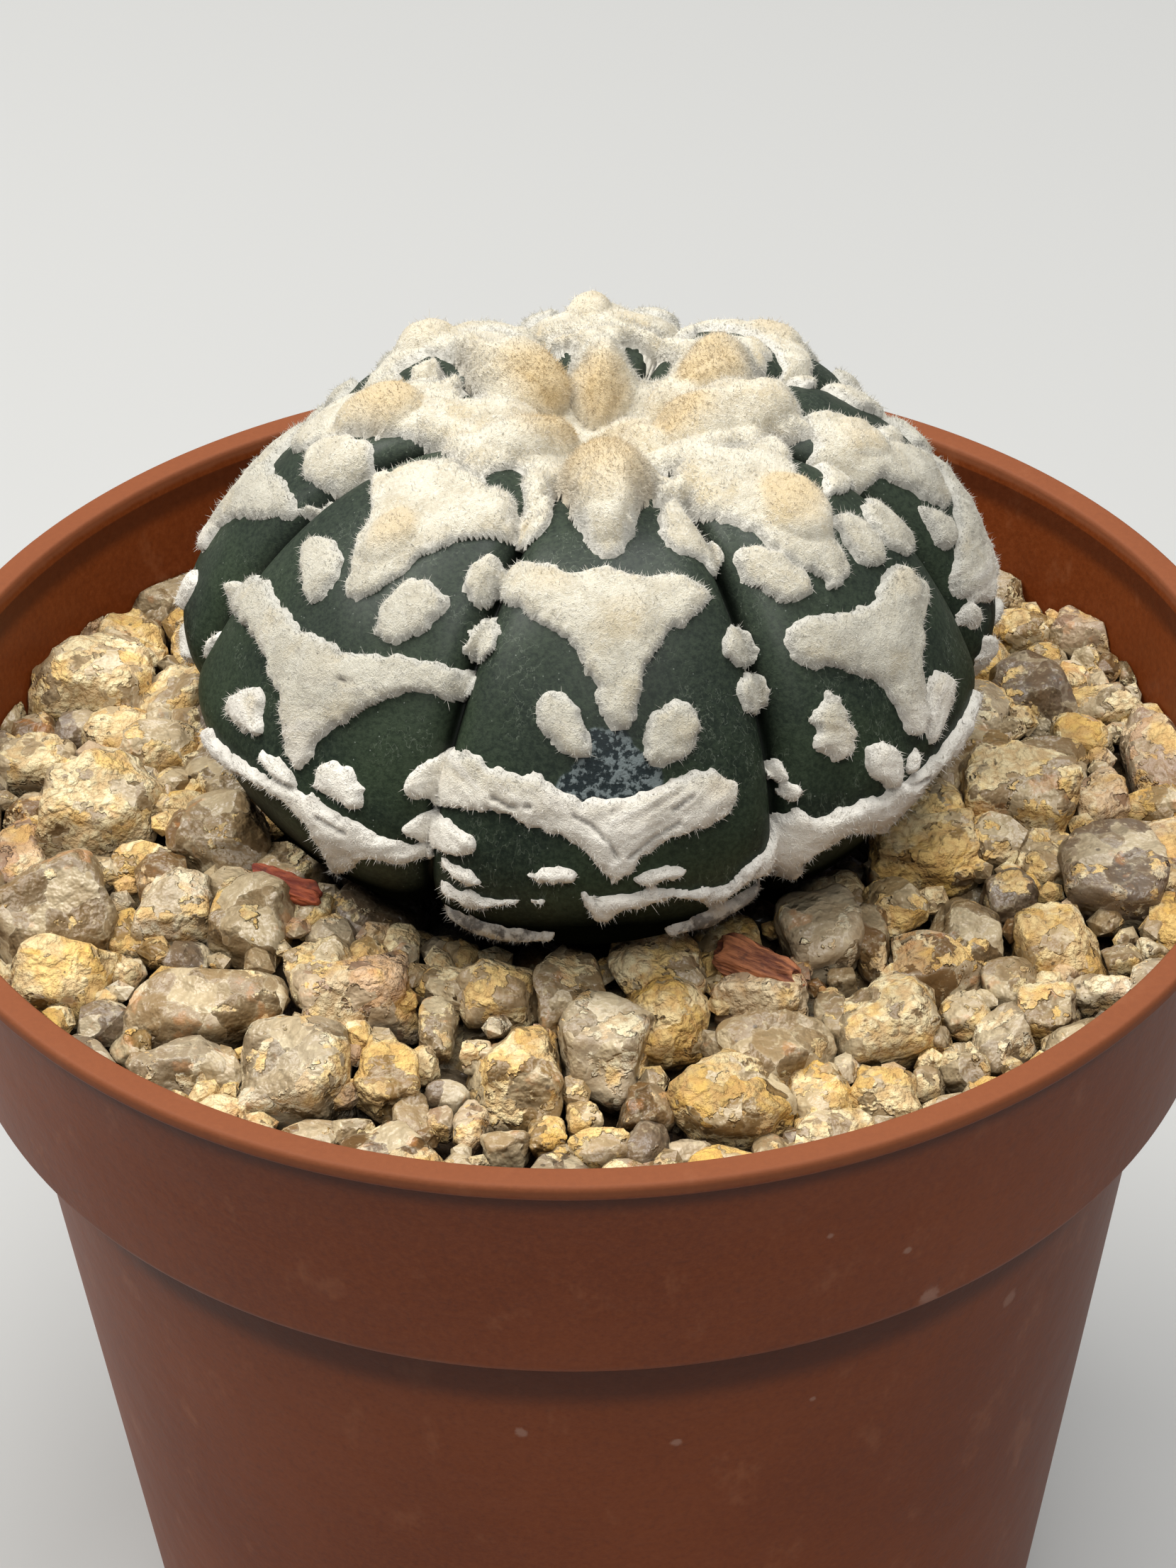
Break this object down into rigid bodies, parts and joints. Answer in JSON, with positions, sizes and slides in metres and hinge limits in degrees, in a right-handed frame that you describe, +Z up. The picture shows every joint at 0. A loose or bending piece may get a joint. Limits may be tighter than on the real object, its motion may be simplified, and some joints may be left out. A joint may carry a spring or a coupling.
{
  "type": "potted v-type star cactus",
  "caption": "Flattened spineless star cactus with broad ribs and V shaped cream wool flecks, rooted in a round brown plastic pot topped with crushed gravel.",
  "frame": {"origin": "centre of the pot's base, on the surface it stands on", "axes": "+Z up along the pot's axis, +X to the right and -Y towards the viewer of the picture"},
  "size_m": [0.065, 0.065, 0.0734],
  "materials": {
    "pot_plastic": "satin moulded brown plastic",
    "potting_mix": "matt crumbly potting mix",
    "crushed_gravel": "rough crushed stone",
    "skin": "satin waxy plant skin",
    "wool": "matt woolly felt",
    "bark": "matt splintered bark"
  },
  "bodies": {
    "root": {"pot": "pot_plastic", "soil": "potting_mix", "gravel": "crushed_gravel", "cactus": "skin", "crown_wool": "wool", "bark_chip_left": "bark", "bark_chip_front": "bark"}
  },
  "joints": []
}
